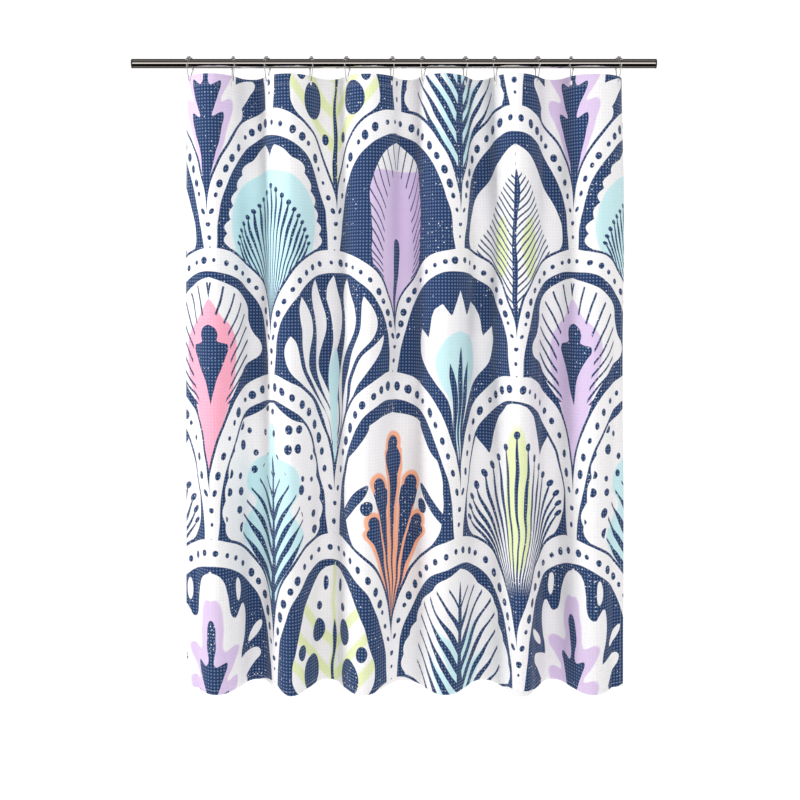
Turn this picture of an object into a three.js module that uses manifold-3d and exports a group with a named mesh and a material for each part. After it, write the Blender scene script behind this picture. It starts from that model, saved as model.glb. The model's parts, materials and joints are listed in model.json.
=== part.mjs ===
// Fabric shower curtain hung by wire roller rings on a straight rod. Millimetres, +Z up.
// X runs along the rod, -Y is the side that faces the room, and the origin is on the rod's axis at mid-length.
import * as THREE from "three";
import { mergeVertices } from "three/addons/utils/BufferGeometryUtils.js";
import Module from "manifold-3d";

// ---- Driving dimensions: the cloth ----
const CLOTH_WIDTH = 1829; // flat width, side edge to side edge
const CLOTH_DROP = 1829; // top edge to bottom edge
const CLOTH_THICK = 1.0; // one layer of waffle weave
const EDGE_TO_SLOT = 38; // side edge to the nearest buttonhole
const TOP_TO_SLOT = 11.5; // top edge to the top of a buttonhole's opening
const HEADER_HEIGHT = 32; // the top edge is turned over by this much
const BOTTOM_HEM_HEIGHT = 14;
const SIDE_HEM_WIDTH = 12;

// ---- Driving dimensions: how the cloth is gathered ----
// Each number is the distance between two neighbouring rings as a share of the cloth between them.
// Odd places are pleats that come forward, even places are pleats that go back.
const GATHER = [0.81, 0.64, 0.825, 0.675, 0.845, 0.58, 0.79, 0.565, 0.79, 0.64, 0.88];
const RING_COUNT = GATHER.length + 1;
const PLEAT_TURN = 0.9; // how far the cloth turns from the rod's line at each ring, radians
const EDGE_CURL = 2; // how fast the side edges turn on past the end rings, radians per pleat
const STEPS_PER_PLEAT = 8;

// ---- Driving dimensions: rod ----
const ROD_RADIUS = 14;
const ROD_WALL = 1.2;
const ROD_PAST_FIRST_RING = 173.5;
const ROD_PAST_LAST_RING = 113.5;
const CAP_LIP = 4;
const CAP_PLUG = 18;
const ROD_SIDES = 32;

// ---- Driving dimensions: rings ----
const WIRE_RADIUS = 1.2;
const BALL_RADIUS = 4;
const BALL_ANGLES = [-56, -28, 0, 28, 56]; // degrees from the top of the ring
const BALL_BORE_CLEAR = 0.35; // between wire and bore
const SLEEVE_WALL = 0.6; // the thin sleeve that keeps a ring's balls together
const RING_YAW = 20; // degrees that a ring turns towards its pleat, one way and the other by turns
const RING_SLACK = 0.5; // extra radius of the ring's arch over the rod
const FOOT_RADIUS = 6.5; // the round foot of the ring that goes through the cloth
const UNDER_ROD = 23.5; // free height between the rod and the cloth's top edge
const LATCH_OFFSET = 2.9; // the latch end lies this far beside the other end

// ---- Driving dimensions: buttonholes ----
const SLOT_WIDTH = 6.4;
const SLOT_HEIGHT = 15;
const BINDING_WIDTH = 1.5; // thread around the slot
const BINDING_PROUD = 0.2; // how far the thread stands off the cloth
const SLOT_HEADROOM = 1.8; // between the top of the slot and the round foot of the ring

const GAP = 0.3; // between pieces that touch

// ---- Sizes that follow ----
const slotTop = -(ROD_RADIUS + UNDER_ROD + TOP_TO_SLOT);
const clothTop = -(ROD_RADIUS + UNDER_ROD);
const clothBottom = clothTop - CLOTH_DROP;
const slotPitch = (CLOTH_WIDTH - 2 * EDGE_TO_SLOT) / (RING_COUNT - 1);
const ringSpan = GATHER.reduce((sum, share) => sum + share * slotPitch, 0);
const rodLength = ROD_PAST_FIRST_RING + ringSpan + ROD_PAST_LAST_RING;
const yaw = THREE.MathUtils.degToRad(RING_YAW);
const ballReach = ROD_RADIUS + BALL_RADIUS + GAP;
const archRadius = ballReach / Math.cos(yaw) + RING_SLACK;
const archCentre = ballReach - archRadius; // the arch's centre hangs below the rod's axis
const footBottom = slotTop - WIRE_RADIUS - SLOT_HEADROOM;
const layerStep = CLOTH_THICK + GAP;

const ringX = [-rodLength / 2 + ROD_PAST_FIRST_RING];
for (const share of GATHER) ringX.push(ringX.at(-1) + share * slotPitch);

// ---- Materials ----
const finish = (color, roughness, metalness) =>
  new THREE.MeshStandardMaterial({ color, roughness, metalness });
const nickel = finish(0xb9b7b2, 0.25, 1);
const chrome = finish(0xd2d2d2, 0.12, 1);
const capPlastic = finish(0x2e2f33, 0.5, 0);
const cloth = finish(0xdcdde6, 0.9, 0);
const clothBack = finish(0xe9e9ee, 0.9, 0);
const thread = finish(0xf2f2f2, 0.8, 0);

// ---- Joining and cutting ----
const wasm = await Module();
wasm.setup();

function solid(geometry) {
  const bare = geometry.clone();
  bare.deleteAttribute("normal");
  bare.deleteAttribute("uv");
  const merged = mergeVertices(bare, 1e-3);
  const vertProperties = merged.attributes.position.array;
  const triVerts = new Uint32Array(merged.index.array);
  return new wasm.Manifold(new wasm.Mesh({ numProp: 3, vertProperties, triVerts }));
}

function geometryOf(made) {
  const { vertProperties, triVerts } = made.getMesh();
  const geometry = new THREE.BufferGeometry();
  geometry.setAttribute("position", new THREE.BufferAttribute(vertProperties, 3));
  geometry.setIndex(new THREE.BufferAttribute(triVerts, 1));
  geometry.computeVertexNormals();
  return geometry;
}

const part = new THREE.Group();

function addPiece(name, geometry, material) {
  const mesh = new THREE.Mesh(geometry, material);
  mesh.name = name;
  part.add(mesh);
  return mesh;
}

// ---- Rod: a tube with a plug cap at each end ----
function alongX(profile) {
  const points = profile.map(([radius, along]) => new THREE.Vector2(radius, along));
  return new THREE.LatheGeometry(points, ROD_SIDES).rotateZ(-Math.PI / 2);
}

const tubeEnd = rodLength / 2 - CAP_LIP - GAP;
const boreRadius = ROD_RADIUS - ROD_WALL;
const tubeProfile = [
  [boreRadius, -tubeEnd],
  [ROD_RADIUS, -tubeEnd],
  [ROD_RADIUS, tubeEnd],
  [boreRadius, tubeEnd],
  [boreRadius, -tubeEnd],
];
addPiece("rod_tube", alongX(tubeProfile), nickel);

const plugRadius = boreRadius - GAP;
const capProfile = [
  [0, -CAP_LIP - CAP_PLUG],
  [plugRadius, -CAP_LIP - CAP_PLUG],
  [plugRadius, -CAP_LIP],
  [ROD_RADIUS, -CAP_LIP],
  [ROD_RADIUS, 0],
  [0, 0],
];
const capRight = addPiece("rod_end_cap_right", alongX(capProfile), capPlastic);
capRight.position.x = rodLength / 2;
const capLeft = addPiece("rod_end_cap_left", alongX(capProfile), capPlastic);
capLeft.position.x = -rodLength / 2;
capLeft.rotation.z = Math.PI;

// ---- Ring: one bent wire, in the YZ plane until the ring is yawed ----
// A curve whose steps fall exactly on its own points, so straight legs need no steps between.
class BentWire extends THREE.CatmullRomCurve3 {
  constructor(points) {
    super(points, false, "centripetal");
  }
  getUtoTmapping(u) {
    return u;
  }
}

function sweep(points, radius, sides) {
  const section = new THREE.Shape();
  section.absarc(0, 0, radius, 0, 2 * Math.PI, false);
  const extrudePath = new BentWire(points);
  const steps = points.length - 1;
  const curveSegments = sides / 2; // a full circle gets two for each
  return new THREE.ExtrudeGeometry(section, { steps, extrudePath, curveSegments });
}

// A point of the arch over the rod; 0 degrees is the top and positive angles go to the back.
function archPoint(degrees) {
  const angle = THREE.MathUtils.degToRad(degrees);
  const y = archRadius * Math.sin(angle);
  return new THREE.Vector3(0, y, archCentre + archRadius * Math.cos(angle));
}

function arch(from, to, step) {
  const points = [];
  for (let degrees = from; degrees >= to; degrees -= step) points.push(archPoint(degrees));
  return points;
}

const footCentre = footBottom + FOOT_RADIUS;
const legLean = Math.atan2(archRadius - FOOT_RADIUS, archCentre - footCentre);

function footPoint(angle) {
  const y = -FOOT_RADIUS * Math.cos(angle);
  return new THREE.Vector3(0, y, footCentre - FOOT_RADIUS * Math.sin(angle));
}

function footArc(steps) {
  const points = [];
  for (let i = 0; i <= steps; i += 1) {
    points.push(footPoint(legLean + ((Math.PI - 2 * legLean) * i) / steps));
  }
  return points;
}

// The back leg rises beside the tail of the arch, with a small kink that latches the two ends.
function ringPoints() {
  const archEnd = archPoint(110);
  const tail = new THREE.Vector3(0, archEnd.y - 3, archEnd.z - 7);
  const footEnd = footPoint(Math.PI - legLean);
  const up = (rise, outset, aside) =>
    new THREE.Vector3(aside, footEnd.y + rise * Math.tan(legLean) + outset, footEnd.z + rise);
  return [
    tail,
    ...arch(110, -90, 20),
    ...footArc(5),
    up(0.5 * (tail.z - footEnd.z), 0, 0),
    up(tail.z - footEnd.z - 5, 0, 0.4 * LATCH_OFFSET),
    up(tail.z - footEnd.z - 1, 1.6, LATCH_OFFSET),
    up(tail.z - footEnd.z + 3, -0.6, LATCH_OFFSET),
    up(tail.z - footEnd.z + 7, 0.8, LATCH_OFFSET),
  ];
}

const WIRE_SIDES = 6;
const BALL_SIDES = 6;
const BALL_RINGS = 4;
const wireGeometry = sweep(ringPoints(), WIRE_RADIUS, WIRE_SIDES);

// The balls of a ring, with the sleeve that joins them and one bore for the wire.
function rollers() {
  const bore = WIRE_RADIUS + BALL_BORE_CLEAR;
  let joined = solid(sweep(arch(60, -60, 20), bore + SLEEVE_WALL, BALL_SIDES));
  for (const degrees of BALL_ANGLES) {
    const ball = new THREE.SphereGeometry(BALL_RADIUS, BALL_SIDES, BALL_RINGS);
    const centre = archPoint(degrees);
    joined = joined.add(solid(ball.translate(centre.x, centre.y, centre.z)));
  }
  return geometryOf(joined.subtract(solid(sweep(arch(90, -90, 20), bore, BALL_SIDES))));
}

const rollerGeometry = rollers();

// ---- Cloth section: the line of the cloth seen from above, at its true length ----
// Between two rings the cloth turns from +PLEAT_TURN to -PLEAT_TURN, so pleats join smoothly.
// "swell" steepens the sides of a pleat, and is solved so that the pleat is as wide as its rings are apart.
const turnAt = (share, swell) =>
  PLEAT_TURN * Math.cos(Math.PI * share) + swell * Math.sin(2 * Math.PI * share);

function widthShare(swell) {
  const samples = 200;
  let sum = 0;
  for (let i = 0; i < samples; i += 1) sum += Math.cos(turnAt((i + 0.5) / samples, swell));
  return sum / samples;
}

function solveSwell(share) {
  let flattest = -PLEAT_TURN;
  let steepest = PLEAT_TURN;
  for (let i = 0; i < 40; i += 1) {
    const middle = (flattest + steepest) / 2;
    if (widthShare(middle) > share) flattest = middle;
    else steepest = middle;
  }
  return (flattest + steepest) / 2;
}

const swells = GATHER.map(solveSwell);
const lastSide = RING_COUNT % 2 === 0 ? -1 : 1;

// The direction of the cloth at a distance from its left edge: positive turns towards the room.
function clothTurn(along) {
  const place = (along - EDGE_TO_SLOT) / slotPitch;
  if (place <= 0) return PLEAT_TURN - EDGE_CURL * place;
  const pastLast = place - GATHER.length;
  if (pastLast >= 0) return lastSide * (PLEAT_TURN + EDGE_CURL * pastLast);
  const pleat = Math.floor(place);
  const side = pleat % 2 === 0 ? 1 : -1;
  return side * turnAt(place - pleat, swells[pleat]);
}

// Walks along the cloth in small steps and keeps a point with its normal wherever one is asked for.
function clothPoints(distances) {
  const walk = 0.5;
  const points = [];
  let along = EDGE_TO_SLOT;
  let x = ringX[0];
  let y = 0;
  const stepTo = (target) => {
    const count = Math.max(1, Math.ceil(Math.abs(target - along) / walk));
    const length = (target - along) / count;
    for (let i = 0; i < count; i += 1) {
      const turn = clothTurn(along + (i + 0.5) * length);
      x += Math.cos(turn) * length;
      y -= Math.sin(turn) * length;
    }
    along = target;
  };
  for (const target of distances) {
    stepTo(target);
    const turn = clothTurn(target);
    points.push({ x, y, normal: [Math.sin(turn), Math.cos(turn)] });
  }
  return points;
}

// Every layer bends at the same places, so that layers stay apart by their gap.
const bends = [0, SIDE_HEM_WIDTH, CLOTH_WIDTH - SIDE_HEM_WIDTH, CLOTH_WIDTH];
for (let i = 0; i <= GATHER.length * STEPS_PER_PLEAT; i += 1) {
  bends.push(EDGE_TO_SLOT + (i * slotPitch) / STEPS_PER_PLEAT);
}
bends.push((SIDE_HEM_WIDTH + EDGE_TO_SLOT) / 2, CLOTH_WIDTH - (SIDE_HEM_WIDTH + EDGE_TO_SLOT) / 2);
bends.sort((a, b) => a - b);

// A strip of cloth between two heights, set back from the front layer by a number of layers.
function strip(from, to, bottom, top, layersBack) {
  const points = clothPoints(bends.filter((along) => along >= from && along <= to));
  const front = layersBack * layerStep - CLOTH_THICK / 2;
  const corners = [
    [front, bottom],
    [front + CLOTH_THICK, bottom],
    [front + CLOTH_THICK, top],
    [front, top],
  ];
  const position = [];
  for (const { x, y, normal } of points) {
    for (const [back, z] of corners) position.push(x + normal[0] * back, y + normal[1] * back, z);
  }
  const index = [0, 2, 1, 0, 3, 2];
  for (let i = 0; i < points.length - 1; i += 1) {
    for (let side = 0; side < 4; side += 1) {
      const a = 4 * i + side;
      const b = 4 * i + ((side + 1) % 4);
      index.push(a, b, b + 4, a, b + 4, a + 4);
    }
  }
  const end = 4 * (points.length - 1);
  index.push(end, end + 1, end + 2, end, end + 2, end + 3);
  const geometry = new THREE.BufferGeometry();
  geometry.setAttribute("position", new THREE.Float32BufferAttribute(position, 3));
  geometry.setIndex(index);
  return geometry;
}

// ---- Buttonholes ----
function slotShape(grow) {
  const half = SLOT_WIDTH / 2 + grow;
  const rise = SLOT_HEIGHT / 2 - SLOT_WIDTH / 2;
  const shape = new THREE.Shape();
  shape.absarc(0, rise, half, 0, Math.PI, false);
  shape.absarc(0, -rise, half, Math.PI, 2 * Math.PI, false);
  return shape;
}

const stackMiddle = layerStep / 2;
const bindingDepth = layerStep + CLOTH_THICK + 2 * BINDING_PROUD;

function slotBlock(shape, depth) {
  const block = new THREE.ExtrudeGeometry(shape, { depth, bevelEnabled: false, curveSegments: 2 });
  return block.translate(0, 0, -depth / 2);
}

// Stands a shape drawn flat, with its height along Z, across the cloth at a buttonhole.
function standAt(object, point, normal) {
  object.position.set(point.x + normal[0] * stackMiddle, point.y + normal[1] * stackMiddle, 0);
  object.position.z = slotTop - SLOT_HEIGHT / 2;
  const across = new THREE.Vector3(-normal[1], normal[0], 0);
  const back = new THREE.Vector3(normal[0], normal[1], 0);
  const upright = new THREE.Vector3(0, 0, 1);
  object.setRotationFromMatrix(new THREE.Matrix4().makeBasis(across, upright, back));
  object.updateMatrix();
}

const slotPlaces = clothPoints(ringX.map((_, i) => EDGE_TO_SLOT + i * slotPitch));

function cutSlots(geometry) {
  let left = solid(geometry);
  const cutter = slotBlock(slotShape(BINDING_WIDTH + GAP), 4 * bindingDepth);
  for (const place of slotPlaces) {
    const stand = new THREE.Object3D();
    standAt(stand, place, place.normal);
    left = left.subtract(solid(cutter.clone().applyMatrix4(stand.matrix)));
  }
  return geometryOf(left);
}

const bindingShape = slotShape(BINDING_WIDTH);
bindingShape.holes.push(slotShape(0));
const bindingGeometry = slotBlock(bindingShape, bindingDepth);

// ---- Cloth pieces ----
const headerBottom = clothTop - HEADER_HEIGHT;
const hemTop = clothBottom + BOTTOM_HEM_HEIGHT;
addPiece("curtain_panel", cutSlots(strip(0, CLOTH_WIDTH, clothBottom, clothTop, 0)), cloth);
addPiece("header_band", cutSlots(strip(0, CLOTH_WIDTH, headerBottom, clothTop, 1)), clothBack);
addPiece("bottom_hem", strip(0, CLOTH_WIDTH, clothBottom, hemTop, 1), clothBack);
const sideHemSpan = [hemTop + GAP, headerBottom - GAP];
addPiece("side_hem_left", strip(0, SIDE_HEM_WIDTH, ...sideHemSpan, 1), clothBack);
const rightHemStart = CLOTH_WIDTH - SIDE_HEM_WIDTH;
addPiece("side_hem_right", strip(rightHemStart, CLOTH_WIDTH, ...sideHemSpan, 1), clothBack);

// ---- Rings, each with its rollers and the bound buttonhole that it carries ----
for (let i = 0; i < RING_COUNT; i += 1) {
  const number = String(i + 1).padStart(2, "0");
  const turn = i % 2 === 0 ? -yaw : yaw;
  const wire = addPiece("ring_wire_" + number, wireGeometry, chrome);
  const balls = addPiece("ring_rollers_" + number, rollerGeometry, chrome);
  for (const piece of [wire, balls]) {
    piece.position.x = ringX[i];
    piece.rotation.z = turn;
  }
  const binding = addPiece("buttonhole_" + number, bindingGeometry, thread);
  standAt(binding, slotPlaces[i], slotPlaces[i].normal);
}

export default part;
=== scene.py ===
# %% [markdown]
# # A printed shower curtain on its rod
# A waffle-weave curtain hangs from twelve wire rings that roll along a straight metal rod. The design
# frame gives every place and size: where the rings sit, how wide the cloth hangs and how deep it falls.
# This script dresses that frame: one folded sheet of cloth, its thread, the wires, the beads and the rod.

# %% Load the frame
import json
import math

import bpy
import numpy as np
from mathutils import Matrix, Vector, noise


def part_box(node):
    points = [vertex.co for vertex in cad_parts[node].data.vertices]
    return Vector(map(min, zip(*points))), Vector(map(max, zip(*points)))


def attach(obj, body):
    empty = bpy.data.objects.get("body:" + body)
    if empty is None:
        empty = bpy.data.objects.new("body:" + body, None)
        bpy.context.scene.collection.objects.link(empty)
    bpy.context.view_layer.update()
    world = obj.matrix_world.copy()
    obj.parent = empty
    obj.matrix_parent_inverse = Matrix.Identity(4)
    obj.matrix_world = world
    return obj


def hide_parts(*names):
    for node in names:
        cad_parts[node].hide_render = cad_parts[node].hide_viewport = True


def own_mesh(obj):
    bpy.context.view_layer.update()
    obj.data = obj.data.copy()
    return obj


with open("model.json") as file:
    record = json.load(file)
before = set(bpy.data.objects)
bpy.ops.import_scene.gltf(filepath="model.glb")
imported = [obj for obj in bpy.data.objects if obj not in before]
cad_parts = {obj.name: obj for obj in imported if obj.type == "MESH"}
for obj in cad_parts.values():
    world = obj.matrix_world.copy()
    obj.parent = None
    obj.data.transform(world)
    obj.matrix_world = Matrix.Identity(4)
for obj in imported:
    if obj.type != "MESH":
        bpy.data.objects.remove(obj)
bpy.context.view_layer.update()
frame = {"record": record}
MM = 0.001
RING_NUMBERS = [f"{i + 1:02d}" for i in range(12)]

# %% [markdown]
# ## What the frame tells
# Nothing is measured twice. The rings' places are the middles of their bead rows, the cloth's height is
# the height of its panel, and the cloth between two rings is the flat width shared out evenly.

# %% Read sizes and places
def middle(node):
    low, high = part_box(node)
    return [(a + b) / 2 for a, b in zip(low, high)]


RING_X = [middle("ring_rollers_" + number)[0] for number in RING_NUMBERS]
PANEL_LOW, PANEL_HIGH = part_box("curtain_panel")
CLOTH_TOP = PANEL_HIGH[2]
DROP = CLOTH_TOP - PANEL_LOW[2]
WIDTH = 1829 * MM
HEADER = CLOTH_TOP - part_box("header_band")[0][2]
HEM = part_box("bottom_hem")[1][2] - PANEL_LOW[2]
SIDE_HEM = 12 * MM
EDGE_TO_SLOT = 38 * MM
SLOT_PITCH = (WIDTH - 2 * EDGE_TO_SLOT) / (len(RING_X) - 1)
SLOT_MIDDLE = middle("buttonhole_01")[2]
ROD_LOW, ROD_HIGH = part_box("rod_tube")
ROD_RADIUS = (ROD_HIGH[2] - ROD_LOW[2]) / 2
print("rings at", [round(x, 3) for x in RING_X], "cloth drop", round(DROP, 3))

# %% [markdown]
# ## Small helpers
# Operators act on whatever is selected, so each piece starts with nothing selected. A piece that is done
# is named, given its materials, moved into the frame's group of bodies, and the design nodes it stands for
# are hidden.

# %% Helpers for pieces
def clear_selection():
    if bpy.context.object and bpy.context.object.mode != "OBJECT":
        bpy.ops.object.mode_set(mode="OBJECT")
    bpy.ops.object.select_all(action="DESELECT")


def activate(piece):
    clear_selection()
    piece.select_set(True)
    bpy.context.view_layer.objects.active = piece


def settle(piece):
    """Puts the piece's place into its mesh, so that the object itself sits at the origin."""
    activate(piece)
    bpy.ops.object.transform_apply(location=True, rotation=True, scale=True)
    return piece


def finish_piece(piece, name, body, materials, nodes=()):
    piece.name = name
    piece.data.name = name
    piece.data.materials.clear()
    for material in materials:
        piece.data.materials.append(material)
    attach(piece, body)
    if nodes:
        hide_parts(*nodes)
    return piece


def add_to_scene(name, data):
    piece = bpy.data.objects.new(name, data)
    bpy.context.scene.collection.objects.link(piece)
    return piece


def mesh_piece(name, points, faces):
    mesh = bpy.data.meshes.new(name)
    mesh.from_pydata([tuple(p) for p in points], [], [tuple(f) for f in faces])
    mesh.validate()
    return add_to_scene(name, mesh)


def smooth(piece, degrees=180):
    """Shades the piece smooth, apart from edges sharper than this angle."""
    activate(piece)
    if degrees >= 180:
        bpy.ops.object.shade_smooth()
    else:
        bpy.ops.object.shade_smooth_by_angle(angle=math.radians(degrees))


def edit_faces(piece, chosen):
    """Starts editing, with only those faces selected for which `chosen` is true."""
    bpy.ops.object.mode_set(mode="EDIT")
    bpy.ops.mesh.select_mode(type="FACE")
    bpy.ops.mesh.select_all(action="DESELECT")
    bpy.ops.object.mode_set(mode="OBJECT")
    for face in piece.data.polygons:
        face.select = chosen(face)
    bpy.ops.object.mode_set(mode="EDIT")


def stop_editing():
    """Turns every face outwards and goes back to whole pieces."""
    bpy.ops.mesh.select_all(action="SELECT")
    bpy.ops.mesh.normals_make_consistent(inside=False)
    bpy.ops.object.mode_set(mode="OBJECT")


def round_edges(piece, width, degrees):
    """Rounds the edges that are sharper than this angle."""
    edges = piece.modifiers.new("edges", "BEVEL")
    edges.width = width
    edges.segments = 3
    edges.limit_method = "ANGLE"
    edges.angle_limit = math.radians(degrees)
    bpy.ops.object.modifier_apply(modifier="edges")


# %% [markdown]
# ## Drawing with numbers
# The print is drawn by the material itself, from each spot's place on the flat cloth in metres.
# A small class turns sums such as a + b into Math nodes, so a shape can be written as a formula.
# Every shape is a distance: above zero inside it, below zero outside.

# %% Numbers that vary over the cloth
class Ink:
    """A number that varies over the cloth. Arithmetic on it adds Math nodes to its tree."""

    def __init__(self, tree, socket):
        self.tree = tree
        self.socket = socket

    def math(self, operation, *others, clamp=False):
        node = self.tree.nodes.new("ShaderNodeMath")
        node.operation = operation
        node.use_clamp = clamp
        for place, value in enumerate((self, *others)):
            if isinstance(value, Ink):
                self.tree.links.new(value.socket, node.inputs[place])
            else:
                node.inputs[place].default_value = value
        return Ink(self.tree, node.outputs[0])

    def __add__(self, other):
        return self.math("ADD", other)

    def __sub__(self, other):
        return self.math("SUBTRACT", other)

    def __rsub__(self, other):
        return self.math("MULTIPLY_ADD", -1.0, other)

    def __mul__(self, other):
        return self.math("MULTIPLY", other)

    def __truediv__(self, other):
        return self.math("DIVIDE", other)

    def times(self, factor, plus):
        return self.math("MULTIPLY_ADD", factor, plus)

    def size(self):
        return self.math("ABSOLUTE")

    def both(self, other):
        return self.math("MINIMUM", other)

    def either(self, other):
        return self.math("MAXIMUM", other)

    def hypot(self, other):
        return self.math("MULTIPLY_ADD", self, other * other).math("SQRT")

    def filled(self, softness=0.0012):
        """One inside the shape and zero outside, with an edge as soft as ink on a weave."""
        return self.math("MULTIPLY_ADD", 1.0 / softness, 0.5, clamp=True)

    def along(self, *points, kind="AUTO"):
        """Looks the number up on a curve drawn through a few points."""
        node = self.tree.nodes.new("ShaderNodeFloatCurve")
        node.mapping.use_clip = False
        node.mapping.extend = "HORIZONTAL"
        curve = node.mapping.curves[0]
        for x, y in points[2:]:
            curve.points.new(x, y)
        for point, (x, y) in zip(curve.points, sorted(points)):
            point.location = (x, y)
            point.handle_type = kind
        node.mapping.update()
        self.tree.links.new(self.socket, node.inputs["Value"])
        return Ink(self.tree, node.outputs[0])


# %% Feed sockets, add textures and groups
def feed(tree, value, socket):
    """Sets a socket from a number over the cloth, another node's output, or a plain value."""
    if isinstance(value, Ink):
        tree.links.new(value.socket, socket)
    elif isinstance(value, bpy.types.NodeSocket):
        tree.links.new(value, socket)
    else:
        socket.default_value = value


def texture(tree, kind, place, dimensions="2D", **inputs):
    """A Noise or Voronoi texture that is read at `place`, with its named inputs set."""
    node = tree.nodes.new("ShaderNodeTex" + kind)
    setattr(node, kind.lower() + "_dimensions", dimensions)
    feed(tree, place, node.inputs["Vector"])
    for name, value in inputs.items():
        node.inputs[name].default_value = value
    return node


def new_group(name, outputs):
    """A node group that is given a place on the cloth, and its way in and its way out."""
    tree = bpy.data.node_groups.new(name, "ShaderNodeTree")
    tree.interface.new_socket("Place", in_out="INPUT", socket_type="NodeSocketVector")
    for label, kind in outputs.items():
        tree.interface.new_socket(label, in_out="OUTPUT", socket_type="NodeSocket" + kind)
    return tree, tree.nodes.new("NodeGroupInput"), tree.nodes.new("NodeGroupOutput")


# %% [markdown]
# ## The overlapping scales
# The print is a wall of tall scales. Each row stands in front of the row above it and is moved sideways
# by half a scale. `across` and `down` are places on the flat cloth; what comes out is the place within
# one scale: `x` from its middle line, `y` up from its foot, and which of the twelve drawings it holds.

# %% Find the scale that each spot lies in
SCALE_PITCH = 0.51
ROW_PITCH = 0.428
FIRST_ROW_TOP = -0.335
FIRST_SCALE_MIDDLE = 0.105
ARCH = SCALE_PITCH / 2
ARCH_RISE = 0.32
FOOT = ROW_PITCH + ARCH_RISE
ROUND = ARCH / ARCH_RISE


def find_scale(across, down):
    row = (down - FIRST_ROW_TOP) / ROW_PITCH
    front_row = row.math("FLOOR")
    front_down = (row - front_row) * ROW_PITCH
    odd = front_row.math("FLOORED_MODULO", 2.0)

    def column_of(is_odd):
        place = (is_odd.times(-ARCH, across) - FIRST_SCALE_MIDDLE) / SCALE_PITCH
        column = place.math("ROUND")
        return column, (place - column) * SCALE_PITCH

    front_column, front_x = column_of(odd)
    back_column, back_x = column_of(1.0 - odd)
    reach = front_x.hypot((ARCH_RISE - front_down) * ROUND)
    rise = (front_down - ARCH_RISE).math("GREATER_THAN", 0.0)
    in_front = reach.math("LESS_THAN", ARCH).either(rise)

    def pick(front, back):
        return (front - back).math("MULTIPLY_ADD", in_front, back)

    x = pick(front_x, back_x)
    drop = in_front.times(-ROW_PITCH, front_down + ROW_PITCH)
    scale_row = in_front + front_row - 1.0
    column = pick(front_column, back_column)
    return x, drop, scale_row, column


# %% [markdown]
# ## The rim
# Every scale has a white rim with a string of dark dots. Where two scales meet below their arches the two
# rims share one string, so the dots slide onto the seam there. A dot's size comes from its number and from
# the seam it lies on, and so both halves of a shared dot agree.

# %% Rim and dots of one scale
DOT_SPACING = 0.041


def draw_rim(x, drop, scale_row, column):
    """How far a spot is inside the rim's outer line, the white rim's width there, and the rim's dots."""
    side = x.size()
    over = (ARCH_RISE - drop) * ROUND
    inside_arch = ARCH - side.hypot(over.either(0.0))
    turn = side.math("ARCTAN2", over).both(math.pi / 2)
    length = turn.times(ARCH, (drop - ARCH_RISE).either(0.0))
    width = length.along((0.0, 0.060), (0.2, 0.053), (0.34, 0.045), (0.42, 0.030), (0.52, 0.019))
    string = length.along((0.0, 0.030), (0.30, 0.026), (0.37, 0.020), (0.42, 0.003), (0.46, 0.0), (0.6, 0.0))
    number = (length / DOT_SPACING).math("FLOOR")
    seam = x.math("SIGN").times(0.5, column)
    seed = number + scale_row * 7.0 + seam * 13.0
    dice = x.tree.nodes.new("ShaderNodeTexWhiteNoise")
    dice.noise_dimensions = "1D"
    feed(x.tree, seed, dice.inputs["W"])
    chance = Ink(x.tree, dice.outputs["Value"])
    from_dot = length - (number + chance.times(0.3, 0.35)) * DOT_SPACING
    radius = chance.times(0.0065, 0.0055) * width.times(14.0, 0.35).both(1.0)
    dots = radius - (from_dot * 0.92).hypot((inside_arch - string) * 1.12)
    return inside_arch, width, dots


# %% [markdown]
# ## Drawing tools for the plants
# Most of the drawings are strokes. `comb` draws strokes that fan out from the scale's foot: it divides the
# distance from the middle line by a spread that grows with height, rounds that to the nearest stroke, and
# measures how far the spot is from it. `barbs` draws strokes that rise to both sides of a stem, as on a
# feather, and `rays` draws strokes round a point. `outline` is a shape as wide as a curve says, `crown`
# is everything below a line, and `oval` is an oval.

# %% Strokes and outlines
class Scale:
    """One scale's own coordinates: x from its middle line and y up from its foot, in metres."""

    def __init__(self, x, y):
        self.x = x
        self.y = y
        self.side = x.size()


def comb(scale, count, spread, tops, profile, head=0.0):
    """Strokes at 0, 1/count, 2/count ... of the spread, as high as `tops` says, shaped by `profile`."""
    wide = scale.y.along(*spread)
    place = scale.side / wide
    stroke = (place * count).math("ROUND").both(math.floor(count)) / count
    top = stroke.along(*tops)
    aside = (place - stroke) * wide
    shape = (scale.y / top).along(*profile) - aside.size()
    if head:
        shape = shape.either(head - aside.hypot(scale.y - top))
    return shape


def barbs(scale, spacing, slope, half, reach, taper=0.0, blunt=0.0):
    """Strokes that rise from the middle line to both sides; `reach` is how far out each one goes."""
    rise = scale.side.times(-slope, scale.y)
    stroke = (rise / spacing).math("ROUND") * spacing
    off = (rise - stroke).size() / math.hypot(1.0, slope)
    left = stroke.along(*reach) - scale.side
    if blunt:
        return ((left * taper).either(blunt).both(half) - off).both(left)
    if taper:
        return (left * taper).both(half) - off
    return (half - off).both(left)


def rays(scale, height, behind, step, half):
    """Strokes round a point that lies behind the middle line, so that they lean out from it."""
    out = scale.side + behind
    up = scale.y - height
    turn = out.math("ARCTAN2", up)
    stroke = (turn / step).math("ROUND") * step
    return half - (turn - stroke).size() * out.hypot(up)


def outline(scale, *points, lean=0.0, kind="AUTO"):
    """A shape that is as wide, to each side, as the curve says at its height."""
    height = scale.side.times(-lean, scale.y) if lean else scale.y
    return height.along(*points, kind=kind) - (scale.side + 0.0008)


def crown(scale, *points, kind="AUTO"):
    """Everything below a line that rises and falls with the distance from the middle line."""
    return scale.side.along(*points, kind=kind) - scale.y


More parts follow.
